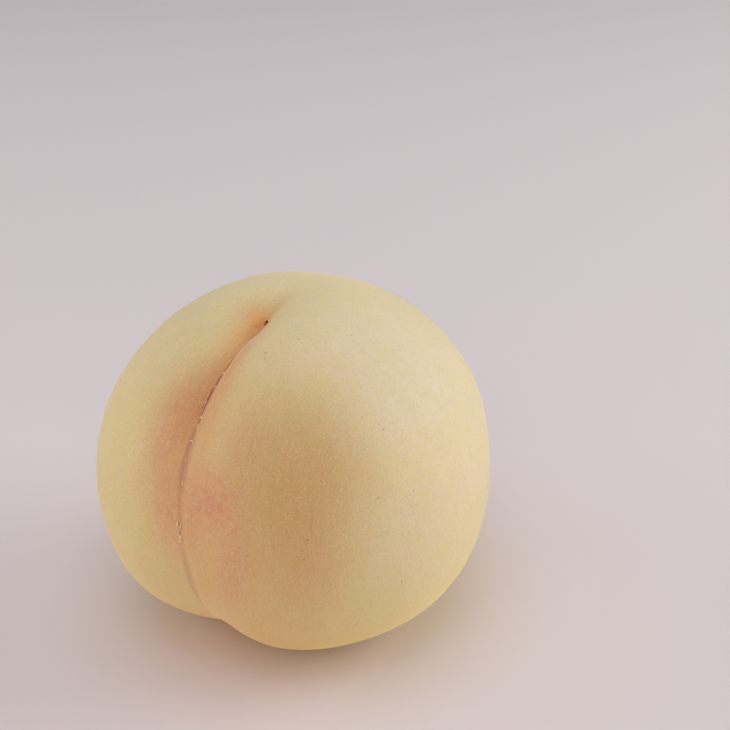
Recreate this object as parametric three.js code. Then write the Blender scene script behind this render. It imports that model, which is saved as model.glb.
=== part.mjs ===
// A ripe peach: one solid fruit that stands on the shoulders round its stem cavity.
// Millimetres, +Z up. The suture faces -Y and the fuller lobe is on the +X side.
import * as THREE from 'three';
import { mergeVertices } from 'three/addons/utils/BufferGeometryUtils.js';

// ---------------------------------------------------------------- driving dimensions

// Body: a superellipse of revolution, half as wide as HALF_WIDTH says, that rises APEX_HEIGHT
// above the fruit's centre and falls STEM_HEIGHT below it. The powers set how square it is.
const HALF_WIDTH = 43;
const APEX_HEIGHT = 37.2;
const STEM_HEIGHT = 36.8;
const APEX_POWER = 2.04;
const STEM_POWER = 2.42;
const BELLY = -0.005; // how far the flanks are drawn down toward the stem end

// The girth's departure from a circle, as shares of the width that swell once, twice and three
// times round. Even shares are alike on both lobes, and odd ones make the right lobe fuller.
const GIRTH_EVEN = [0.007, 0.039, -0.011];
const GIRTH_ODD = [0.052, 0.013, -0.005];

// Tilt of the apex end and the stem end: how much each height changes toward the suture side
// and toward the right lobe.
const APEX_TILT = { suture: -0.01, right: -0.052 };
const STEM_TILT = { suture: -0.085, right: 0.082 };

// The suture runs from behind the apex, down the front and into the stem cavity. It is a soft
// valley with a crease in it. Each row is a station, at an angle from the apex in degrees:
// [angle, drift of the crease to the right, valley depth, valley half width left, right,
//  crease depth, crease half width left, right]
const SUTURE = [
  [-80, 0.0, 0.0, 8, 8, 0.0, 3.0, 2.2],
  [-50, 0.0, 0.3, 8, 8, 0.0, 3.0, 2.2],
  [-25, 0.5, 0.7, 8, 8, 0.0, 3.8, 2.2],
  [0, 1.0, 1.5, 9, 6.5, 0.8, 4.5, 2.2],
  [8, 1.0, 1.8, 10, 6.5, 2.0, 4.5, 2.2],
  [22, 0.3, 2.5, 11.5, 6.5, 2.6, 4.5, 2.2],
  [45, 1.0, 2.7, 12, 8, 1.7, 4.2, 2.1],
  [65, 1.6, 2.9, 14, 10, 0.45, 2.4, 1.8],
  [90, 2.0, 3.4, 11.5, 10.5, 0.05, 1.5, 1.5],
  [120, 1.2, 3.9, 12.5, 9.5, 0.05, 1.5, 1.5],
  [150, 0.8, 2.2, 7, 7, 0.2, 1.5, 1.5],
  [165, 0.4, 1.6, 7, 6, 0.3, 1.7, 1.5],
  [180, 0.0, 0.0, 7, 6, 0.0, 2.0, 1.5],
];
const VALLEY_POWER = 1.85;
const CREASE_ROUNDING = 0.25;

// Dimple at the apex round the dried tip of the style, which stands forward of the apex
const TIP_FORWARD = 2.1;
const TIP_RIGHT = 1.0;
const TIP_HEIGHT = 1.0;
const TIP_RADIUS = 0.5;
const TIP_POWER = 3; // how square the tip's profile is
const DIMPLE_DEPTH = 1.6;
const DIMPLE_LENGTH = 6.5;
const DIMPLE_LEFT = 7.8;
const DIMPLE_RIGHT = 3.9;

// Stem cavity, with the round scar that the stalk leaves at the bottom of it
const CAVITY_DEPTH = 9.5;
const CAVITY_RADIUS = 8.5;
const CAVITY_POWER = 1.8;
const SCAR_RADIUS = 2.6;
const SCAR_RIM_HEIGHT = 0.5;
const SCAR_RIM_WIDTH = 0.7;
const SCAR_PIT_DEPTH = 1.2;

// How the fruit stands: the apex leans toward the left lobe and the suture, the fruit's centre
// is at CENTRE, and the shoulders are pressed flat where they meet the surface at z = 0.
const LEAN = new THREE.Vector2(THREE.MathUtils.degToRad(-5.1), THREE.MathUtils.degToRad(-5.1));
const CENTRE = new THREE.Vector3(-2.54, -1.38, 34.14);

// Mesh: rings from the style's tip to the stem end and columns round the fruit, closer together
// where the form is finest: [place in radians, reach in radians, how many times closer]
const RINGS = 62;
const RING_FOCUS = [[0, 0.04, 9], [0.2, 0.2, 1], [Math.PI, 0.12, 3]];
const COLUMNS = 80;
const COLUMN_FOCUS = [[0, 0.18, 4]];

// How far from the tip, in radians, and from the crease, in mm, the mesh is drawn toward them
const TIP_REACH = 0.6;
const CREASE_REACH = 15;

// ---------------------------------------------------------------- the fruit's form

// Height of a bell that falls from 1 at its middle
const bell = (distance, power = 2) => Math.exp(-(Math.abs(distance) ** power));

// One column of the suture's stations at an angle, joined by a smooth cubic
function suture(column, angle) {
  const last = SUTURE.length - 1;
  const a = THREE.MathUtils.clamp(angle, SUTURE[0][0], SUTURE[last][0]);
  let i = 0;
  while (i < last - 1 && a > SUTURE[i + 1][0]) i += 1;
  const slope = (k) => {
    const before = SUTURE[Math.max(k - 1, 0)];
    const after = SUTURE[Math.min(k + 1, last)];
    return (after[column] - before[column]) / (after[0] - before[0]);
  };
  const [from, to] = [SUTURE[i], SUTURE[i + 1]];
  const span = to[0] - from[0];
  const t = (a - from[0]) / span;
  const value = from[column] * (2 * t ** 3 - 3 * t ** 2 + 1) + to[column] * (3 * t ** 2 - 2 * t ** 3);
  const bend = slope(i) * (t ** 3 - 2 * t ** 2 + t) + slope(i + 1) * (t ** 3 - t ** 2);
  return value + span * bend;
}

// Distance from the fruit's centre to its smooth body. theta is the angle from the apex, and
// phi turns from the suture toward the right lobe.
function bodyRadius(theta, phi) {
  const across = Math.sin(theta);
  const along = Math.cos(theta);
  const toSuture = Math.cos(phi);
  const toRight = Math.sin(phi);
  let width = HALF_WIDTH;
  GIRTH_EVEN.forEach((share, k) => { width += HALF_WIDTH * share * Math.cos((k + 1) * phi); });
  GIRTH_ODD.forEach((share, k) => { width += HALF_WIDTH * share * Math.sin((k + 1) * phi); });
  const stemEnd = along < 0;
  const tilt = stemEnd ? STEM_TILT : APEX_TILT;
  const power = stemEnd ? STEM_POWER : APEX_POWER;
  const leaning = across * (tilt.suture * toSuture + tilt.right * toRight);
  const height = (stemEnd ? STEM_HEIGHT : APEX_HEIGHT) * (1 + leaning);
  const sum = (across / width) ** power + (Math.abs(along) / height) ** power;
  return sum ** (-1 / power) * (1 - 0.5 * BELLY * Math.sin(2 * theta));
}

// How deep the suture is sunk below the body, at a point given from the fruit's centre
function sutureDepth(toSuture, toRight, up) {
  const angle = THREE.MathUtils.radToDeg(Math.atan2(toSuture, up));
  const offset = toRight - suture(1, angle);
  const left = offset < 0;
  const valley = suture(2, angle) * bell(offset / suture(left ? 3 : 4, angle), VALLEY_POWER);
  const rounded = Math.hypot(offset, CREASE_ROUNDING) - CREASE_ROUNDING;
  const crease = suture(5, angle) * bell(rounded / suture(left ? 6 : 7, angle), 1);
  return valley + crease;
}

// How deep the apex dimple is, less the dried tip that stands in it
function apexDepth(toSuture, toRight) {
  const forward = toSuture - TIP_FORWARD;
  const right = toRight - TIP_RIGHT;
  const side = right < 0 ? DIMPLE_LEFT : DIMPLE_RIGHT;
  const dimple = DIMPLE_DEPTH * bell(forward / DIMPLE_LENGTH) * bell(right / side);
  return dimple - TIP_HEIGHT * bell(Math.hypot(forward, right) / TIP_RADIUS, TIP_POWER);
}

// How deep the stem cavity is, with the scar's raised rim and its pit
function cavityDepth(toSuture, toRight) {
  const out = Math.hypot(toSuture, toRight);
  const cavity = CAVITY_DEPTH * bell(out / CAVITY_RADIUS, CAVITY_POWER);
  const rim = SCAR_RIM_HEIGHT * bell((out - SCAR_RADIUS) / SCAR_RIM_WIDTH);
  return cavity - rim + SCAR_PIT_DEPTH * bell(out / (SCAR_RADIUS - SCAR_RIM_WIDTH), 4);
}

// A point of the skin, leaned, set down in the part's own frame and pressed flat at the surface
function skinPoint(theta, phi) {
  const body = bodyRadius(theta, phi);
  const toSuture = body * Math.sin(theta) * Math.cos(phi);
  const toRight = body * Math.sin(theta) * Math.sin(phi);
  const up = body * Math.cos(theta);
  const end = up < 0 ? cavityDepth(toSuture, toRight) : apexDepth(toSuture, toRight);
  const scale = (body - sutureDepth(toSuture, toRight, up) - end) / body;
  const axis = new THREE.Vector3(-LEAN.y, LEAN.x, 0).normalize();
  const point = new THREE.Vector3(toRight, -toSuture, up).multiplyScalar(scale);
  point.applyAxisAngle(axis, LEAN.length()).add(CENTRE);
  point.z = Math.max(point.z, 0);
  return point;
}

// ---------------------------------------------------------------- the solid

// Values from low to high in equal steps of a count that runs faster near each focus
function spacedValues(steps, low, high, focus) {
  const samples = 4000;
  const near = (x) => focus.reduce((sum, [at, reach, gain]) => sum + gain * bell((x - at) / reach), 0);
  const count = [0];
  const place = (k) => low + ((high - low) * k) / samples;
  for (let k = 1; k <= samples; k += 1) count.push(count[k - 1] + 1 + near(place(k - 0.5)));
  const values = [];
  let k = 0;
  for (let step = 0; step <= steps; step += 1) {
    const target = (count[samples] * step) / steps;
    while (k < samples && count[k] < target) k += 1;
    values.push(place(k));
  }
  return values;
}

// Where a ring and a column of the mesh cross, as theta and phi. The columns start at the
// style's tip, and the first of them runs along the crease.
function meshPlace(ring, column) {
  const radius = bodyRadius(ring, column);
  const up = Math.cos(ring);
  const forward = (TIP_FORWARD / radius) * bell(ring / TIP_REACH);
  const toSuture = Math.sin(ring) * Math.cos(column) + forward;
  const across = Math.sin(ring) * Math.sin(column);
  const angle = THREE.MathUtils.radToDeg(Math.atan2(toSuture, up));
  const drift = (suture(1, angle) / radius) * bell((across * radius) / CREASE_REACH);
  const toRight = across + drift;
  return [Math.atan2(Math.hypot(toSuture, toRight), up), Math.atan2(toRight, toSuture)];
}

// The whole skin as a closed mesh: rings between the two poles, joined round
function skinGeometry() {
  const rings = spacedValues(RINGS, 0, Math.PI, RING_FOCUS);
  const columns = spacedValues(COLUMNS, -Math.PI, Math.PI, COLUMN_FOCUS).slice(0, -1);
  const corners = rings.map((ring) => columns.map((column) => skinPoint(...meshPlace(ring, column))));
  const positions = [];
  const triangle = (...points) => points.forEach((p) => positions.push(p.x, p.y, p.z));
  for (let i = 0; i < RINGS; i += 1) {
    for (let j = 0; j < COLUMNS; j += 1) {
      const next = (j + 1) % COLUMNS;
      const [a, b] = [corners[i][j], corners[i][next]];
      const [c, d] = [corners[i + 1][j], corners[i + 1][next]];
      if (i < RINGS - 1) triangle(a, c, d);
      if (i > 0) triangle(a, d, b);
    }
  }
  const geometry = new THREE.BufferGeometry();
  geometry.setAttribute('position', new THREE.Float32BufferAttribute(positions, 3));
  return mergeVertices(geometry, 1e-4);
}

function peach() {
  const geometry = skinGeometry();
  geometry.computeVertexNormals();
  const skin = new THREE.MeshStandardMaterial({ color: 0xdcc28c, roughness: 0.75, metalness: 0 });
  const mesh = new THREE.Mesh(geometry, skin);
  mesh.name = 'peach';
  return mesh;
}

const fruit = new THREE.Group();
fruit.add(peach());

export default fruit;
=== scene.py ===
"""A ripe peach on a plain pale surface in soft studio light. The fruit's form is worked out from
the same driving dimensions as the CAD node it replaces, with a finer mesh and fine relief."""
import math

import bpy
import numpy as np
from mathutils import Matrix, Vector, noise


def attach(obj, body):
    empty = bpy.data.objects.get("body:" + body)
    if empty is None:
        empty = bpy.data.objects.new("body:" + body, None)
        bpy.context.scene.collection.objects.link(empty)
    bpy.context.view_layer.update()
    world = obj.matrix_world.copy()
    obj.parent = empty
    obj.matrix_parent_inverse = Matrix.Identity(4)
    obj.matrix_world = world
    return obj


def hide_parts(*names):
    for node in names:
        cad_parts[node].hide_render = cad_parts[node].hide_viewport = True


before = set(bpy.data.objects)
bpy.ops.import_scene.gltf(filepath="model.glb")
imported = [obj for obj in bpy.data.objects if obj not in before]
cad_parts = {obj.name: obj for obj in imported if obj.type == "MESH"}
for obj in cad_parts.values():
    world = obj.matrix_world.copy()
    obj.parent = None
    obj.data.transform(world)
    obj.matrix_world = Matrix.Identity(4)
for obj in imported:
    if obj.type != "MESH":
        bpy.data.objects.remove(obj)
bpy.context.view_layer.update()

MM = 0.001

# ---------------------------------------------------------------- driving dimensions, mm and degrees

# Body: half width, heights above and below the fruit's centre, and how square each end is
HALF_WIDTH = 43.0
APEX_HEIGHT, STEM_HEIGHT = 37.2, 36.8
APEX_POWER, STEM_POWER = 2.04, 2.42
BELLY = -0.005
GIRTH_EVEN = (0.007, 0.039, -0.011)
GIRTH_ODD = (0.052, 0.013, -0.005)
APEX_TILT = (-0.01, -0.052)
STEM_TILT = (-0.085, 0.082)

# The suture's stations, from behind the apex down the front to the stem cavity: angle from the
# apex, drift to the right, valley depth and half widths left and right, crease depth and half
# widths left and right
SUTURE = np.array([
    (-80, 0.0, 0.0, 8, 8, 0.0, 3.0, 2.2),
    (-50, 0.0, 0.3, 8, 8, 0.0, 3.0, 2.2),
    (-25, 0.5, 0.7, 8, 8, 0.0, 3.8, 2.2),
    (0, 1.0, 1.5, 9, 6.5, 0.8, 4.5, 2.2),
    (8, 1.0, 1.8, 10, 6.5, 2.0, 4.5, 2.2),
    (22, 0.3, 2.5, 11.5, 6.5, 2.6, 4.5, 2.2),
    (45, 1.0, 2.7, 12, 8, 1.7, 4.2, 2.1),
    (65, 1.6, 2.9, 14, 10, 0.45, 2.4, 1.8),
    (90, 2.0, 3.4, 11.5, 10.5, 0.05, 1.5, 1.5),
    (120, 1.2, 3.9, 12.5, 9.5, 0.05, 1.5, 1.5),
    (150, 0.8, 2.2, 7, 7, 0.2, 1.5, 1.5),
    (165, 0.4, 1.6, 7, 6, 0.3, 1.7, 1.5),
    (180, 0.0, 0.0, 7, 6, 0.0, 2.0, 1.5),
])
DRIFT, VALLEY, VALLEY_LEFT, VALLEY_RIGHT, CREASE, CREASE_LEFT, CREASE_RIGHT = range(1, 8)
VALLEY_POWER = 1.85
CREASE_ROUNDING = 0.25

# Apex dimple round the style's dried tip, which stands forward of the apex
TIP_FORWARD, TIP_RIGHT = 2.1, 1.0
DIMPLE_DEPTH, DIMPLE_LENGTH = 1.6, 6.5
DIMPLE_LEFT, DIMPLE_RIGHT = 7.8, 3.9

# Stem cavity and the scar at the bottom of it
CAVITY_DEPTH, CAVITY_RADIUS, CAVITY_POWER = 9.5, 8.5, 1.8
SCAR_RADIUS, SCAR_RIM_HEIGHT, SCAR_RIM_WIDTH, SCAR_PIT_DEPTH = 2.6, 0.5, 0.7, 1.2

# How the fruit stands
LEAN_X, LEAN_Y = -5.1, -5.1
CENTRE = np.array([-2.54, -1.38, 34.14])

# Fine mesh: rings from the style's tip to the stem end and columns round the fruit, and where
# each runs closer: (place, reach, gain) in radians. The mesh is drawn toward the tip and the
# crease within these reaches, in radians and in mm.
RINGS, COLUMNS = 262, 350
RING_FOCUS = ((0.0, 0.06, 8), (0.2, 0.2, 1), (0.8, 0.5, 0.8), (math.pi, 0.14, 2))
COLUMN_FOCUS = ((0.0, 0.16, 7), (0.25, 0.4, 0.8))
FINE_STEPS = 4001
TIP_REACH, CREASE_REACH = 0.6, 15.0

# Fine relief of the skin: (size, height) of each layer of unevenness, and the long wrinkles beside
# the crease, whose length, middle and span are angles along the suture
UNEVENNESS = ((16.0, 0.16), (5.5, 0.045), (2.0, 0.012))
WRINKLE_PITCH, WRINKLE_HEIGHT, WRINKLE_REACH = 1.3, 0.05, 9.0
WRINKLE_LENGTH, WRINKLES_MIDDLE, WRINKLES_SPAN = 14, 55, 50

# ---------------------------------------------------------------- the fruit's form


def bell(distance, power=2.0):
    """A bell that falls from 1 at its middle."""
    return np.exp(-np.abs(distance) ** power)


def suture(column, angle):
    """One column of the suture's stations at each angle, joined by a smooth cubic."""
    at, value = SUTURE[:, 0], SUTURE[:, column]
    last = len(at) - 1
    before, after = np.maximum(np.arange(last + 1) - 1, 0), np.minimum(np.arange(last + 1) + 1, last)
    slope = (value[after] - value[before]) / (at[after] - at[before])
    x = np.clip(angle, at[0], at[last])
    i = np.clip(np.searchsorted(at, x) - 1, 0, last - 1)
    span = at[i + 1] - at[i]
    t = (x - at[i]) / span
    straight = value[i] * (2 * t**3 - 3 * t**2 + 1) + value[i + 1] * (3 * t**2 - 2 * t**3)
    bend = slope[i] * (t**3 - 2 * t**2 + t) + slope[i + 1] * (t**3 - t**2)
    return straight + span * bend


def body_radius(theta, phi):
    """Distance from the fruit's centre to its smooth body. theta is the angle from the apex,
    and phi turns from the suture toward the right lobe."""
    across, along = np.sin(theta), np.cos(theta)
    width = 1.0
    for k, share in enumerate(GIRTH_EVEN, 1):
        width = width + share * np.cos(k * phi)
    for k, share in enumerate(GIRTH_ODD, 1):
        width = width + share * np.sin(k * phi)
    stem_end = along < 0
    apex_lean, stem_lean = [
        across * (front * np.cos(phi) + right * np.sin(phi)) for front, right in (APEX_TILT, STEM_TILT)
    ]
    height = np.where(stem_end, STEM_HEIGHT * (1 + stem_lean), APEX_HEIGHT * (1 + apex_lean))
    power = np.where(stem_end, STEM_POWER, APEX_POWER)
    total = (across / (HALF_WIDTH * width)) ** power + (np.abs(along) / height) ** power
    return total ** (-1 / power) * (1 - 0.5 * BELLY * np.sin(2 * theta))


def suture_place(to_suture, to_right, up):
    """Angle along the suture from the apex, and offset to the right of the crease."""
    angle = np.degrees(np.arctan2(to_suture, up))
    return angle, to_right - suture(DRIFT, angle)


def suture_depth(angle, offset):
    """How deep the suture is sunk below the body."""
    left = offset < 0
    valley_width = np.where(left, suture(VALLEY_LEFT, angle), suture(VALLEY_RIGHT, angle))
    valley = suture(VALLEY, angle) * bell(offset / valley_width, VALLEY_POWER)
    rounded = np.hypot(offset, CREASE_ROUNDING) - CREASE_ROUNDING
    crease_width = np.where(left, suture(CREASE_LEFT, angle), suture(CREASE_RIGHT, angle))
    return valley + suture(CREASE, angle) * bell(rounded / crease_width, 1)


def apex_depth(to_suture, to_right):
    """How deep the dimple round the style's tip is."""
    forward, right = to_suture - TIP_FORWARD, to_right - TIP_RIGHT
    side = np.where(right < 0, DIMPLE_LEFT, DIMPLE_RIGHT)
    return DIMPLE_DEPTH * bell(forward / DIMPLE_LENGTH) * bell(right / side)


def cavity_depth(to_suture, to_right):
    """How deep the stem cavity is, with the scar's raised rim and its pit."""
    out = np.hypot(to_suture, to_right)
    cavity = CAVITY_DEPTH * bell(out / CAVITY_RADIUS, CAVITY_POWER)
    rim = SCAR_RIM_HEIGHT * bell((out - SCAR_RADIUS) / SCAR_RIM_WIDTH)
    return cavity - rim + SCAR_PIT_DEPTH * bell(out / (SCAR_RADIUS - SCAR_RIM_WIDTH), 4)


def stand(points):
    """Points given from the fruit's centre as (right, back, up), leaned and set on the surface."""
    tilt = Vector((math.radians(LEAN_X), math.radians(LEAN_Y), 0))
    turn = Matrix.Rotation(tilt.length, 3, Vector((-tilt.y, tilt.x, 0)))
    placed = points @ np.array(turn).T + CENTRE
    placed[:, 2] = np.maximum(placed[:, 2], 0)
    return placed


def noise_at(places, seed):
    """Smooth noise of about -1 to 1 at each place."""
    shift = Vector((seed * 7.3, seed * 3.1, seed * 5.7))
    return np.array([noise.noise(Vector(place) + shift) for place in places])


def unevenness(points, angle, offset):
    """The skin's fine relief in mm: soft bumps all over, and long wrinkles beside the crease."""
    total = sum(height * noise_at(points / size, k) for k, (size, height) in enumerate(UNEVENNESS))
    along = np.stack([angle / WRINKLE_LENGTH, offset / WRINKLE_PITCH, np.zeros_like(offset)], axis=-1)
    near = bell(offset / WRINKLE_REACH) * bell((angle - WRINKLES_MIDDLE) / WRINKLES_SPAN, 4)
    return total + WRINKLE_HEIGHT * near * noise_at(along, len(UNEVENNESS))


def skin_points(theta, phi):
    """Places on the skin in mm, and where each lies along and across the suture."""
    body = body_radius(theta, phi)
    to_suture = body * np.sin(theta) * np.cos(phi)
    to_right = body * np.sin(theta) * np.sin(phi)
    up = body * np.cos(theta)
    angle, offset = suture_place(to_suture, to_right, up)
    end = np.where(up < 0, cavity_depth(to_suture, to_right), apex_depth(to_suture, to_right))
    points = np.stack([to_right, -to_suture, up], axis=-1)
    radius = body - suture_depth(angle, offset) - end + unevenness(points, angle, offset)
    return stand(points * (radius / body)[:, None]), angle, offset


SETTLING_ROUNDS = 6


def by_suture(angle, offset):
    """theta and phi of the places that lie at these angles along and offsets from the crease."""
    to_right = offset + suture(DRIFT, angle)
    radius = np.full_like(to_right, HALF_WIDTH)
    for _ in range(SETTLING_ROUNDS):
        level = np.sqrt(radius**2 - to_right**2)
        to_suture, up = level * np.sin(np.radians(angle)), level * np.cos(np.radians(angle))
        theta = np.arctan2(np.hypot(to_suture, to_right), up)
        phi = np.arctan2(to_right, to_suture)
        radius = body_radius(theta, phi)
    return theta, phi


# ---------------------------------------------------------------- the fruit's mesh


def spaced_values(steps, low, high, focus):
    """Values from low to high in equal steps of a count that runs faster near each focus."""
    place = np.linspace(low, high, FINE_STEPS)
    density = 1 + sum(gain * bell((place - at) / reach) for at, reach, gain in focus)
    count = np.concatenate([[0], np.cumsum((density[1:] + density[:-1]) / 2)])
    return np.interp(np.linspace(0, count[-1], steps + 1), count, place)


def mesh_places(ring, column):
    """theta and phi where rings and columns cross. The columns start at the style's tip, and
    the middle one runs along the crease."""
    radius = body_radius(ring, column)
    up = np.cos(ring)
    to_suture = np.sin(ring) * np.cos(column) + TIP_FORWARD / radius * bell(ring / TIP_REACH)
    across = np.sin(ring) * np.sin(column)
    drift = suture(DRIFT, np.degrees(np.arctan2(to_suture, up)))
    to_right = across + drift / radius * bell(across * radius / CREASE_REACH)
    return np.arctan2(np.hypot(to_suture, to_right), up), np.arctan2(to_right, to_suture)


def peach_mesh():
    """The whole skin as a closed mesh, with what its material reads stored at each vertex."""
    rings = spaced_values(RINGS, 0, math.pi, RING_FOCUS)[1:-1]
    columns = spaced_values(COLUMNS, -math.pi, math.pi, COLUMN_FOCUS)[:-1]
    grid = [values.ravel() for values in np.meshgrid(rings, columns, indexing="ij")]
    poles = [(0, math.pi), (0, 0)]
    theta, phi = mesh_places(*[np.concatenate(pair) for pair in zip(grid, poles)])
    points, angle, offset = skin_points(theta, phi)
    ring = np.arange(len(rings) * COLUMNS).reshape(len(rings), COLUMNS)
    across = np.roll(ring, -1, axis=1)
    quads = np.stack([ring[:-1], ring[1:], across[1:], across[:-1]], axis=-1).reshape(-1, 4)
    apex, stem = ring.size, ring.size + 1
    caps = [(apex, a, b) for a, b in zip(ring[0], across[0])]
    caps += [(stem, b, a) for a, b in zip(ring[-1], across[-1])]
    mesh = bpy.data.meshes.new("peach_skin")
    mesh.from_pydata((points * MM).tolist(), [], quads.tolist() + caps)
    mesh.polygons.foreach_set("use_smooth", [True] * len(mesh.polygons))
    store(mesh, "suture", np.stack([angle, offset, theta], axis=-1))
    store(mesh, "tint", tints(theta, angle, offset))
    store(mesh, "round", np.stack([np.sin(phi), np.cos(phi), theta], axis=-1))
    mesh.update()
    return mesh


def store(mesh, name, vectors):
    """Keeps a vector at each vertex for the material to read."""
    layer = mesh.attributes.new(name, "FLOAT_VECTOR", "POINT")
    layer.data.foreach_set("vector", vectors.astype(np.float32).ravel())


# Where the skin is blushed, and where some rows paint shade: angle along the suture, offset from
# the crease, reach along in degrees, reach to the left and right in mm, and strength
BLUSH_AND_SHADE = (
    (4, -0.8, 7, 4.4, 1.8, 0.85),
    (14, -0.6, 10, 3.4, 1.5, 0.55),
    (30, -0.4, 11, 3.4, 2.0, 0.5),
    # Partly blush and partly painted shade on the crease's right rim
    (26, 2.4, 18, 1.6, 2.6, 0.85),
    (45, -1.0, 14, 7.5, 7.0, 0.75),
    (66, -2.0, 15, 7.0, 4.0, 0.36),
    (77, 3.4, 22, 4.5, 6.0, 0.45),
    (100, 4.5, 18, 4.0, 8.0, 0.32),
    # Partly blush and partly painted shade in the band between the lit sides of the right lobe
    (60, 16.0, 28, 8.0, 12.0, 0.34),
    (118, 8.0, 18, 12.0, 14.0, 0.37),
    # These two rows: partly blush and partly painted shade in the band between the lit sides of the
    # right lobe
    (62, 26.0, 24, 7.0, 7.0, 0.42),
    (90, 26.5, 16, 9.0, 5.0, 0.32),
    (-4, 0.6, 8, 1.6, 1.2, 0.3),
)
PINK = (
    (70, 9.2, 8.5, 5.5, 5.5, 0.7),
    (72, 3.5, 9, 3, 3, 0.4),
    (92, 11.0, 9, 3.5, 4.5, 0.4),
    (84, 13.5, 9, 4, 5, 0.35),
    (52, 12.3, 8, 4, 5, 0.2),
    (58, -5.5, 18, 5, 4, 0.36),
    (80, -2.5, 13, 4, 3, 0.5),
)
STEM_TINT_REACH = 0.42


def spots(places, angle, offset):
    """Several soft spots laid over each other at each point."""
    clear = np.ones_like(angle)
    for at, beside, along, left, right, strength in places:
        side = np.where(offset < beside, left, right)
        clear = clear * (1 - strength * bell((angle - at) / along) * bell((offset - beside) / side))
    return 1 - clear


def tints(theta, angle, offset):
    """Strength of the orange blush with its painted shade, of the pink and of the stem cavity's own
    colour.
    """
    stem = bell((math.pi - theta) / STEM_TINT_REACH, 4)
    return np.stack([spots(BLUSH_AND_SHADE, angle, offset), spots(PINK, angle, offset), stem], axis=-1)


# ---------------------------------------------------------------- materials


def srgb(red, green, blue):
    """A colour given as 0 to 255 on screen, as the shader's linear colour."""
    parts = [c / 255 for c in (red, green, blue)]
    linear = [c / 12.92 if c <= 0.04045 else ((c + 0.055) / 1.055) ** 2.4 for c in parts]
    return (*linear, 1.0)


class Shader:
    """A Principled material whose nodes are added and joined by short calls."""

    def __init__(self, name):
        self.material = bpy.data.materials.new(name)
        self.material.use_nodes = True
        self.tree = self.material.node_tree
        self.surface = self.tree.nodes["Principled BSDF"]

    def node(self, kind, inputs, output=0, **settings):
        """Adds a node and returns one of its outputs. An input is a value or an output."""
        made = self.tree.nodes.new("ShaderNode" + kind)
        for name, value in settings.items():
            setattr(made, name, value)
        for name, value in inputs.items():
            self.feed(made.inputs[name], value)
        return made.outputs[output]

    def feed(self, socket, value):
        """Joins an output to a socket, or sets the socket's own value."""
        if isinstance(value, bpy.types.NodeSocket):
            self.tree.links.new(value, socket)
        else:
            socket.default_value = value

    def set(self, **inputs):
        """Sets the surface's own sockets, named with _ for a space."""
        for name, value in inputs.items():
            self.feed(self.surface.inputs[name.replace("_", " ")], value)

    def place(self):
        """Object coordinates in mm."""
        return self.combine("MULTIPLY", self.node("TexCoord", {}, "Object"), [1 / MM] * 3)

    def stored(self, name):
        """A vector stored at the mesh's vertices."""
        return self.node("Attribute", {}, "Vector", attribute_name=name)

    def parts(self, vector):
        """The three parts of a vector."""
        made = self.tree.nodes.new("ShaderNodeSeparateXYZ")
        self.feed(made.inputs[0], vector)
        return list(made.outputs)

    def stretched(self, vector, scale):
        """A vector scaled by a different amount in each part."""
        return self.node("Mapping", {"Vector": vector, "Scale": scale})

    def combine(self, operation, a, b):
        """Two vectors joined part by part."""
        return self.node("VectorMath", {0: a, 1: b}, operation=operation)

    def noise(self, place, size, detail, roughness=0.5):
        """Noise of about 0 to 1 whose lumps are of this size."""
        inputs = {"Vector": place, "Scale": 1 / size, "Detail": detail, "Roughness": roughness}
        return self.node("TexNoise", inputs, "Fac")

    def ramp(self, value, low, high, start=0.0, end=1.0):
        """Eases from start to end as a value goes from low to high."""
        inputs = {"Value": value, "From Min": low, "From Max": high, "To Min": start, "To Max": end}
        return self.node("MapRange", inputs, interpolation_type="SMOOTHSTEP")

    def mark(self, vector, at, beside, half_length, half_width, strength):
        """A soft-edged oval on the skin, from a vector of angle and offset."""
        scale = (1 / half_length, 1 / half_width, 0)
        location = (-at / half_length, -beside / half_width, 0)
        inputs = {"Vector": vector, "Scale": scale, "Location": location}
        away = self.node("VectorMath", {0: self.node("Mapping", inputs)}, 1, operation="LENGTH")
        return self.ramp(away, *MARK_EDGE, strength, 0)

    def math(self, operation, a, b=0.0):
        """Two numbers joined by a math node."""
        return self.node("Math", {0: a, 1: b}, operation=operation)

    def times(self, *values):
        """The product of several outputs or values."""
        product = values[0]
        for value in values[1:]:
            product = self.math("MULTIPLY", product, value)
        return product

    def mix(self, share, a, b):
        """Colour a with a share of colour b laid over it."""
        return self.node("Mix", {0: share, 6: a, 7: b}, 2, data_type="RGBA")


CREAM = srgb(218, 195, 144)
# This pale colour is the skin's paler tone toward the right, and also painted light and sheen on the
# upper right and top
PALE_AND_LIT = srgb(225, 211, 190)
# The shoulder colour is a painted highlight
SHOULDER_HIGHLIGHT = srgb(238, 222, 210)
GOLD = srgb(219, 193, 128)
# The two underside colours are a painted warm glow of light bounced up from the floor and shining
# through the skin
UNDERSIDE_GLOW = srgb(242, 186, 80)
FLANK_GLOW = srgb(226, 200, 96)
YELLOW = srgb(216, 200, 116)
OLIVE = srgb(198, 188, 116)
# An olive colour used as painted shade in the band down the middle of the right lobe
MOSS_SHADE = srgb(170, 160, 84)
FUZZ = srgb(236, 220, 180)
DUSK = srgb(172, 124, 68)
ORANGE = srgb(206, 132, 66)
AMBER = srgb(230, 158, 76)
DEEP_ORANGE = srgb(214, 124, 0)
PINK_SKIN = srgb(208, 120, 108)
MAUVE = srgb(180, 110, 90)
CREASE_RED = srgb(182, 84, 44)
SPECK = srgb(110, 84, 40)
STEM_GREEN = srgb(192, 172, 84)
SCAR_BROWN = srgb(112, 76, 44)
SHEEN = srgb(255, 236, 200)
FLAKE, FLAKE_TAN = srgb(246, 224, 190), srgb(222, 176, 132)
TIP_BROWN, TIP_DARK, TIP_RUST = srgb(96, 40, 22), srgb(58, 24, 16), srgb(168, 84, 38)
FLOOR = srgb(230, 218, 217)

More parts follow.
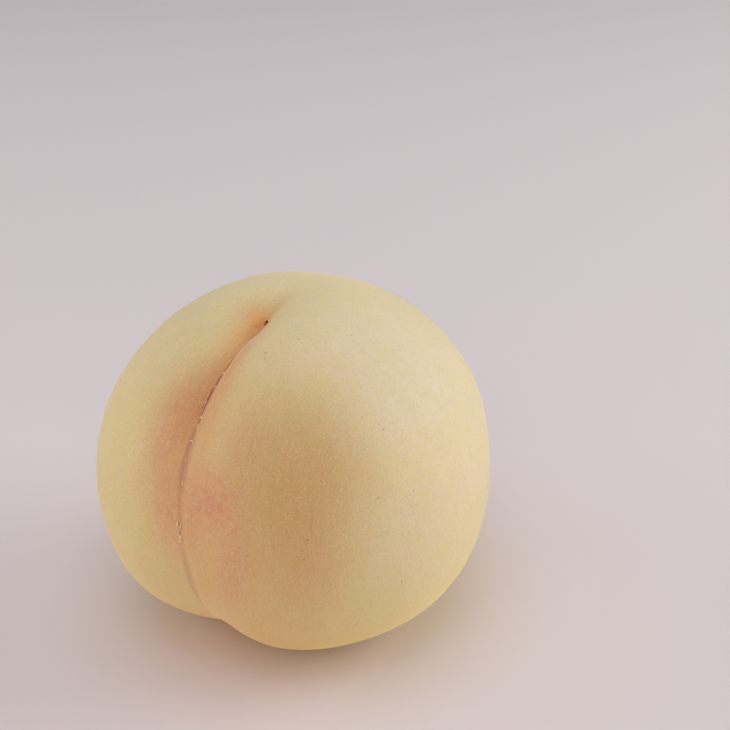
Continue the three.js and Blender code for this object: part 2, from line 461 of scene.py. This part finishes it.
# Where the ground colour changes, in mm to the right of the origin and up from the floor. Each is
# a ramp: from, to, and the shares there where they aren't 0 and 1.
PALER_RIGHT = (14, 40, 0, 0.5)
# Painted light: the upper right is paler where the lamps from the right and above fall
LIT_UPPER_RIGHT, LIT_UPPER = (12, 34), (50, 66, 0, 0.9)
# Painted sheen: the top is paler
SHEEN_PAINTED_TOP = (50, 72, 0, 0.2)
# Painted highlight: a pale shoulder on the upper right
HIGHLIGHT_RIGHT, HIGHLIGHT_UP = (0, 16), (62, 69, 0, 0.28)
GOLD_LOW = (10, 42, 0.75, 0)
# Painted warm glow of bounced light on the underside, yellower on the flanks
GLOW_LOW, FLANK_ASIDE = (4, 22, 0.9, 0), (6, 30)

# Mottle of the ground: size, detail, roughness, the noise it runs from and to, share, colour
MOTTLE = (
    (9.0, 3, 0.5, 0.4, 0.75, 0.2, YELLOW),
    (1.6, 3, 0.6, 0.4, 0.75, 0.4, YELLOW),
    (3.5, 4, 0.6, 0.5, 0.8, 0.2, OLIVE),
)

# How closely streaks lie: per part of the "round" vector, or per degree and per mm of "suture"
MERIDIANS, SCAR_FIBRES = (11, 11, 5), (9, 9, 1.5)
BLUSH_STREAKS, BLUSH_THREADS = (0.1, 1.3, 0), (0.12, 3.2, 0)

# Marks fade out across this much of their half size
MARK_EDGE = (0.45, 1.35)

# Broad soft marks by the crease: angle, offset, half length in degrees, half width in mm, strength
AMBER_MARK = (13, -2.2, 18, 4.2, 1.0)
DEEP_ORANGE_MARK = (8, -0.9, 6.5, 1.5, 0.65)
# Painted shade, partly an olive tone, in the band between the lit sides of the right lobe
MOSS_SHADE_MARK = (58, 23, 27, 11, 0.18)
# Painted shade on the crease's right rim
CREASE_RIM_SHADE = (42, 0.8, 34, 0.9, 0.3)

# Sizes of the fuzz's grain, the pink patches and the specks' cells, and the scar's edge in radians
GRAIN_SIZE, PATCH_SIZE, SPECK_SPACING = 0.34, 1.2, 4.2
SCAR_EDGE = (math.pi - 0.15, math.pi - 0.1)

# How the cracks' edges are torn: noise per mm, and how far it shifts them in degrees and mm
TORN_SCALE, TORN_SHIFT = 1.8, (1.6, 0.35, 0)

# Red cracks along the crease, with the same columns
CRACKS = (
    (26.5, -0.05, 3.6, 0.2, 0.6),
    (33.6, -0.1, 2.6, 0.3, 0.8),
    (41.8, -0.2, 5.2, 0.42, 0.75),
    (49.0, 0.2, 0.9, 0.4, 0.85),
    (53.0, 0.2, 2.4, 0.22, 0.45),
    (55.8, 0.1, 0.5, 0.25, 0.7),
    (78.8, 0.0, 0.7, 0.28, 0.7),
    (81.2, 0.1, 0.45, 0.3, 0.7),
    (84.1, 0.2, 0.5, 0.4, 0.5),
)

# Soft mauve bands in the crease, with the same columns
BANDS = (
    (41.8, 0.1, 7.5, 0.9, 0.4),
    (62.0, 0.0, 12.0, 1.0, 0.5),
    (77.0, 0.1, 5.0, 0.9, 0.3),
    (96.0, 0.2, 13.0, 0.9, 0.4),
)


def ground_colour(s, place, round_vector):
    """Cream, paler toward the fuller lobe and deeper below, mottled at several sizes. The paler upper
    right and top and the pale shoulder are painted light, sheen and highlight, and the orange
    underside is a painted warm glow of bounced light.
    """
    to_right, _, height = s.parts(place)
    colour = s.mix(s.ramp(to_right, *PALER_RIGHT), CREAM, PALE_AND_LIT)
    # Painted light on the upper right, painted sheen on the top and a painted highlight on the
    # shoulder
    upper_right_light = s.times(s.ramp(to_right, *LIT_UPPER_RIGHT), s.ramp(height, *LIT_UPPER))
    colour = s.mix(upper_right_light, colour, PALE_AND_LIT)
    colour = s.mix(s.ramp(height, *SHEEN_PAINTED_TOP), colour, PALE_AND_LIT)
    shoulder_highlight = s.times(s.ramp(to_right, *HIGHLIGHT_RIGHT), s.ramp(height, *HIGHLIGHT_UP))
    colour = s.mix(shoulder_highlight, colour, SHOULDER_HIGHLIGHT)
    colour = s.mix(s.ramp(height, *GOLD_LOW), colour, GOLD)
    flank = s.ramp(s.math("ABSOLUTE", to_right), *FLANK_ASIDE)
    # Painted warm glow of bounced light on the underside
    colour = s.mix(s.ramp(height, *GLOW_LOW), colour, s.mix(flank, UNDERSIDE_GLOW, FLANK_GLOW))
    for size, detail, roughness, low, high, share, tone in MOTTLE:
        blotch = s.ramp(s.noise(place, size, detail, roughness), low, high, 0, share)
        colour = s.mix(blotch, colour, tone)
    meridians = s.noise(s.stretched(round_vector, MERIDIANS), 1, 4, 0.6)
    return s.mix(s.ramp(meridians, 0.4, 0.9, 0, 0.25), colour, FUZZ)


def add_blush_and_shade(s, colour, place, suture_vector, blush_and_shade, pink):
    """Orange blush, drawn out in streaks along the crease, with painted shade down the middle of the
    right lobe and on the crease's right rim, and pink patches and threads.
    """
    shade = s.mix(s.mark(suture_vector, *AMBER_MARK), ORANGE, AMBER)
    shade = s.mix(s.mark(suture_vector, *DEEP_ORANGE_MARK), shade, DEEP_ORANGE)
    streaks = s.noise(s.stretched(suture_vector, BLUSH_STREAKS), 1, 2)
    colour = s.mix(s.times(blush_and_shade, s.ramp(streaks, 0.25, 0.75, 0.88, 1.1)), colour, shade)
    # Painted shade down the middle of the right lobe
    colour = s.mix(s.mark(suture_vector, *MOSS_SHADE_MARK), colour, MOSS_SHADE)
    patchy = s.ramp(s.noise(place, PATCH_SIZE, 3, 0.6), 0.3, 0.75, 0.45, 1.2)
    colour = s.mix(s.times(pink, patchy), colour, PINK_SKIN)
    threads = s.noise(s.stretched(suture_vector, BLUSH_THREADS), 1, 3, 0.6)
    colour = s.mix(s.times(blush_and_shade, s.ramp(threads, 0.45, 0.7, 0, 0.6)), colour, PINK_SKIN)
    # Painted shade on the crease's right rim
    return s.mix(s.mark(suture_vector, *CREASE_RIM_SHADE), colour, DUSK)


def add_stem_end(s, colour, theta, round_vector, stem):
    """The greener stem cavity, and the fibrous brown scar."""
    colour = s.mix(s.times(stem, 0.7), colour, STEM_GREEN)
    fibres = s.noise(s.stretched(round_vector, SCAR_FIBRES), 1, 3)
    scar = s.times(s.ramp(theta, *SCAR_EDGE), s.ramp(fibres, 0.3, 0.7, 0.5, 1))
    return s.mix(scar, colour, SCAR_BROWN)


def add_grain_and_specks(s, colour, place, grain):
    """The fuzz as a fine light and dark grain, and dark specks. The specks are sparse, because
    each is a small ball that the skin has to cross."""
    colour = s.mix(s.ramp(grain, 0.5, 0.75, 0, 0.3), colour, FUZZ)
    colour = s.mix(s.ramp(grain, 0.25, 0.5, 0.25, 0), colour, DUSK)
    dots = {"Vector": place, "Scale": 1 / SPECK_SPACING, "Randomness": 1.0}
    return s.mix(s.ramp(s.node("TexVoronoi", dots, "Distance"), 0.02, 0.06, 0.75, 0), colour, SPECK)


def add_crease(s, colour, place, suture_vector):
    """Soft mauve bands and red cracks with torn edges. Returns the colour and the cracks."""
    wander = s.node("TexNoise", {"Vector": place, "Scale": TORN_SCALE, "Detail": 2}, "Color")
    shift = s.combine("MULTIPLY", s.combine("SUBTRACT", wander, [0.5] * 3), TORN_SHIFT)
    torn = s.combine("ADD", suture_vector, shift)
    for band in BANDS:
        colour = s.mix(s.mark(torn, *band), colour, MAUVE)
    cracks = 0.0
    for crack in CRACKS:
        cracks = s.math("MAXIMUM", cracks, s.mark(torn, *crack))
    return s.mix(cracks, colour, CREASE_RED), cracks


def skin_material():
    s = Shader("peach_skin")
    place, suture_vector, round_vector = s.place(), s.stored("suture"), s.stored("round")
    theta = s.parts(suture_vector)[2]
    blush_and_shade, pink, stem = s.parts(s.stored("tint"))
    grain = s.noise(place, GRAIN_SIZE, 2, 0.6)

    colour = ground_colour(s, place, round_vector)
    colour = add_blush_and_shade(s, colour, place, suture_vector, blush_and_shade, pink)
    colour = add_stem_end(s, colour, theta, round_vector, stem)
    colour = add_grain_and_specks(s, colour, place, grain)
    colour, cracks = add_crease(s, colour, place, suture_vector)

    s.set(Base_Color=colour, Roughness=0.65, Specular_IOR_Level=0.2)
    s.set(Subsurface_Weight=0.5, Subsurface_Scale=0.004, Subsurface_Radius=(1.0, 0.5, 0.2))
    s.set(Sheen_Weight=0.6, Sheen_Roughness=0.6, Sheen_Tint=SHEEN)
    s.surface.subsurface_method = "RANDOM_WALK"
    relief = s.math("SUBTRACT", grain, s.times(cracks, 2.0))
    s.set(Normal=s.node("Bump", {"Height": relief, "Strength": 0.3, "Distance": 0.2 * MM}))
    return s.material


def flake_material():
    s = Shader("dry_flake")
    place = s.place()
    colour = s.mix(s.ramp(s.noise(place, 0.3, 3), 0.4, 0.8), FLAKE, FLAKE_TAN)
    s.set(Base_Color=colour, Roughness=0.6, Subsurface_Weight=0.3, Subsurface_Scale=0.001)
    return s.material


def tip_material():
    s = Shader("dried_style")
    place = s.place()
    height = s.parts(place)[2]
    colour = s.mix(s.ramp(s.noise(place, 0.25, 3), 0.3, 0.7), TIP_BROWN, TIP_DARK)
    colour = s.mix(s.ramp(height, TIP_BASE_Z + 0.1, TIP_BASE_Z + 0.6, 1, 0), colour, TIP_RUST)
    bump = s.node("Bump", {"Height": s.noise(place, 0.12, 2), "Strength": 0.5, "Distance": 0.1 * MM})
    s.set(Base_Color=colour, Roughness=0.7, Normal=bump)
    return s.material


def floor_material():
    s = Shader("pale_floor")
    s.set(Base_Color=FLOOR, Roughness=0.85, Specular_IOR_Level=0.2)
    return s.material


# ---------------------------------------------------------------- pieces


def piece(name, mesh, material):
    """A named object at the origin that rides on the fruit's body."""
    made = bpy.data.objects.new(name, mesh)
    bpy.context.scene.collection.objects.link(made)
    mesh.materials.append(material)
    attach(made, "root")
    return made


def tube(ridge, aside, outward, widths, heights, sides=8):
    """Rows of points round a ridge: an oval at each of its points, closed to a point at the ends.
    Returns the points, and quads that join each row to the next."""
    turn = np.arange(sides) / sides * 2 * math.pi
    rows = ridge[:, None] + aside[:, None] * (widths[:, None] * np.cos(turn))[..., None]
    rows = rows + outward[:, None] * (heights[:, None] * np.sin(turn))[..., None]
    index = np.arange(len(ridge) * sides).reshape(-1, sides)
    beside = np.roll(index, -1, axis=1)
    quads = np.stack([index[:-1], beside[:-1], beside[1:], index[1:]], axis=-1).reshape(-1, 4)
    return rows.reshape(-1, 3), quads.tolist() + [index[0, ::-1].tolist(), index[-1].tolist()]


def solid_mesh(name, parts):
    """One mesh from several lots of (points in mm, faces)."""
    points, faces = [], []
    for part_points, part_faces in parts:
        faces += [[corner + len(points) for corner in face] for face in part_faces]
        points += (part_points * MM).tolist()
    mesh = bpy.data.meshes.new(name)
    mesh.from_pydata(points, [], faces)
    mesh.polygons.foreach_set("use_smooth", [True] * len(mesh.polygons))
    return mesh


# Dry flakes and fibres of skin in the crease: half width in mm, and the (angle, offset) of the
# start, middle and end
FLAKES = (
    (0.05, (24.0, -0.35), (26.5, -0.45), (29.0, -0.35)),
    (0.13, (30.2, -0.45), (30.6, 0.0), (30.2, 0.4)),
    (0.1, (36.1, -0.3), (36.5, 0.1), (36.3, 0.4)),
    (0.06, (37.8, -0.7), (40.8, -0.5), (43.8, -0.7)),
    (0.05, (41.5, -0.2), (43.6, -0.3), (46.2, -0.2)),
    (0.15, (47.2, -0.2), (47.9, 0.4), (47.5, 0.9)),
    (0.12, (49.8, -0.2), (50.3, 0.1), (50.2, 0.4)),
    (0.09, (51.5, 0.0), (51.0, 0.4), (51.4, 0.7)),
    (0.11, (55.7, -0.45), (55.0, 0.1), (55.9, 0.55)),
    (0.06, (60.0, -0.4), (60.7, -0.1), (61.2, -0.2)),
    (0.06, (66.5, 0.1), (67.1, 0.3), (67.9, 0.2)),
    (0.12, (77.7, -0.45), (79.0, -0.4), (79.8, -0.1)),
    (0.1, (78.2, 0.4), (79.2, 0.35), (80.0, 0.05)),
    (0.12, (81.8, -0.35), (82.2, 0.1), (82.1, 0.4)),
    (0.1, (83.3, -0.3), (82.7, 0.1), (82.4, 0.45)),
    (0.12, (84.5, -0.5), (83.5, 0.0), (84.6, 0.55)),
)
FLAKE_FLATNESS, FLAKE_TAPER, FLAKE_LIFT, FLAKE_ARCH = 0.65, 0.96, 0.08, 0.06
FLAKE_POINTS = 9


def flake_parts():
    """Each flake as a thin ridge that lies on the skin and is raised at its middle."""
    share = np.linspace(-1, 1, FLAKE_POINTS)
    taper = np.sqrt(1 - FLAKE_TAPER * share**2)
    parts = []
    for half_width, *course in FLAKES:
        start, middle, end = np.array(course)
        bow = (start + end) / 2 - middle
        course = middle + (end - start) / 2 * share[:, None] + bow * share[:, None] ** 2
        ridge, _, _ = skin_points(*by_suture(course[:, 0], course[:, 1]))
        outward = ridge - CENTRE
        outward /= np.linalg.norm(outward, axis=1)[:, None]
        along = np.gradient(ridge, axis=0)
        aside = np.cross(along, outward)
        aside /= np.linalg.norm(aside, axis=1)[:, None]
        lifted = ridge + outward * (FLAKE_LIFT + FLAKE_ARCH * taper[:, None])
        widths = half_width * taper
        parts.append(tube(lifted, aside, outward, widths, FLAKE_FLATNESS * widths))
    return parts


# The style's dried tip: (height, radius) up its axis, and how it leans to the right and back
TIP_PROFILE = ((-0.5, 0.5), (0.0, 0.4), (0.15, 0.31), (0.35, 0.27), (0.5, 0.28), (0.62, 0.26),
               (0.67, 0.17), (0.56, 0.07))
TIP_LEAN = np.array([0.25, 0.2])
TIP_ROUGHNESS, TIP_LUMP_SIZE, TIP_SEEDS = 0.07, 0.3, (11, 12, 13)
TIP_SIDES = 18
tip_angle = np.array([math.degrees(TIP_FORWARD / APEX_HEIGHT)])
tip_root, _, _ = skin_points(*by_suture(tip_angle, np.zeros(1)))
TIP_BASE_Z = float(tip_root[0, 2])


def tip_parts():
    """A stub with a hollow, uneven end."""
    height, radius = np.array(TIP_PROFILE).T
    ridge = tip_root + np.stack([*(TIP_LEAN[:, None] * height), height], axis=-1)
    across, up = np.tile([1.0, 0, 0], (len(height), 1)), np.tile([0, 1.0, 0], (len(height), 1))
    points, faces = tube(ridge, across, up, radius, radius, TIP_SIDES)
    shift = np.stack([noise_at(points / TIP_LUMP_SIZE, seed) for seed in TIP_SEEDS], axis=-1)
    return [(points + TIP_ROUGHNESS * shift, faces)]


peach = piece("peach_skin", peach_mesh(), skin_material())
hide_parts("peach")
piece("crease_flakes", solid_mesh("crease_flakes", flake_parts()), flake_material())
piece("style_tip", solid_mesh("style_tip", tip_parts()), tip_material())

# ---------------------------------------------------------------- floor, camera and light

FLOOR_HALF = 2.0
CAMERA_AZIMUTH, CAMERA_DOWN = 31.0, 27.0   # turned from the suture side toward the right lobe
FOCAL_PX, FRAME_PX = 1600.0, 730.0
CENTRE_PX = (290.0, 452.65)                # where the fruit's centre falls in the frame
CAMERA_DISTANCE = 0.346
SENSOR = 36.0


def make_floor():
    h = FLOOR_HALF
    mesh = bpy.data.meshes.new("floor")
    mesh.from_pydata([(-h, -h, 0), (h, -h, 0), (h, h, 0), (-h, h, 0)], [], [(0, 1, 2, 3)])
    floor = bpy.data.objects.new("floor", mesh)
    bpy.context.scene.collection.objects.link(floor)
    mesh.materials.append(floor_material())


def camera_axes():
    """The camera's right, up and backward directions."""
    azimuth, down = math.radians(CAMERA_AZIMUTH), math.radians(CAMERA_DOWN)
    right = Vector((math.cos(azimuth), math.sin(azimuth), 0))
    away = Vector((-math.sin(azimuth), math.cos(azimuth), 0))
    backward = Vector((0, 0, math.sin(down))) - away * math.cos(down)
    return right, backward.cross(right), backward


def make_camera():
    right, up, backward = camera_axes()
    aside = (CENTRE_PX[0] - FRAME_PX / 2) / FOCAL_PX
    above = (FRAME_PX / 2 - CENTRE_PX[1]) / FOCAL_PX
    centre = Vector(CENTRE * MM)
    place = centre + CAMERA_DISTANCE * (backward - aside * right - above * up)
    data = bpy.data.cameras.new("camera")
    data.sensor_width = SENSOR
    data.lens = FOCAL_PX / FRAME_PX * SENSOR
    camera = bpy.data.objects.new("camera", data)
    camera.matrix_world = Matrix((right, up, backward)).transposed().to_4x4()
    camera.matrix_world.translation = place
    bpy.context.scene.collection.objects.link(camera)
    bpy.context.scene.camera = camera


LAMP_SIZE, LAMP_DISTANCE = 0.9, 1.0
WHITE, WARM, COOL = (1.0, 1.0, 1.0), (1.0, 0.87, 0.66), (0.93, 1.0, 1.1)

# Round area lamps: name, azimuth from the camera toward its right, elevation, power in W, colour,
# size in m
LAMPS = (
    ("right", 100, 15, 8.0, (0.985, 1.005, 1.0), LAMP_SIZE),
    ("left", -100, 15, 3.1, WHITE, LAMP_SIZE),
    ("front", 0, 8, 2.8, WARM, LAMP_SIZE),
    ("front_left", -45, 6, 1.0, WARM, 0.5),
    ("above", 0, 85, 2.5, (0.94, 0.985, 1.09), LAMP_SIZE),
    ("front_high", 0, 48, 1.4, (0.97, 0.985, 1.04), LAMP_SIZE),
    ("left_high", -50, 48, 1.2, (1.0, 0.97, 1.0), LAMP_SIZE),
    ("back_right", 150, 48, 0.9, COOL, LAMP_SIZE),
    ("back_left", -150, 48, 0.9, COOL, LAMP_SIZE),
)
ROOM_COLOUR, ROOM_STRENGTH = (1.0, 0.965, 0.965, 1), 0.06


def soft_lamp(name, azimuth, elevation, power, colour, size):
    """A round area lamp aimed at the fruit."""
    right, _, backward = camera_axes()
    toward_camera = Vector((backward.x, backward.y, 0)).normalized()
    a, e = math.radians(azimuth), math.radians(elevation)
    level = right * math.sin(a) + toward_camera * math.cos(a)
    aim = level * math.cos(e) + Vector((0, 0, math.sin(e)))
    data = bpy.data.lights.new(name, "AREA")
    data.shape, data.size, data.energy, data.color = "DISK", size, power, colour
    lamp = bpy.data.objects.new(name, data)
    lamp.matrix_world = aim.to_track_quat("Z", "Y").to_matrix().to_4x4()
    lamp.matrix_world.translation = Vector(CENTRE * MM) + aim * LAMP_DISTANCE
    bpy.context.scene.collection.objects.link(lamp)


def make_light():
    world = bpy.data.worlds.new("studio")
    bpy.context.scene.world = world
    world.use_nodes = True
    background = world.node_tree.nodes["Background"]
    background.inputs["Color"].default_value = ROOM_COLOUR
    background.inputs["Strength"].default_value = ROOM_STRENGTH
    for lamp in LAMPS:
        soft_lamp(*lamp)
    bpy.context.scene.view_settings.view_transform = "Standard"


make_floor()
make_camera()
make_light()
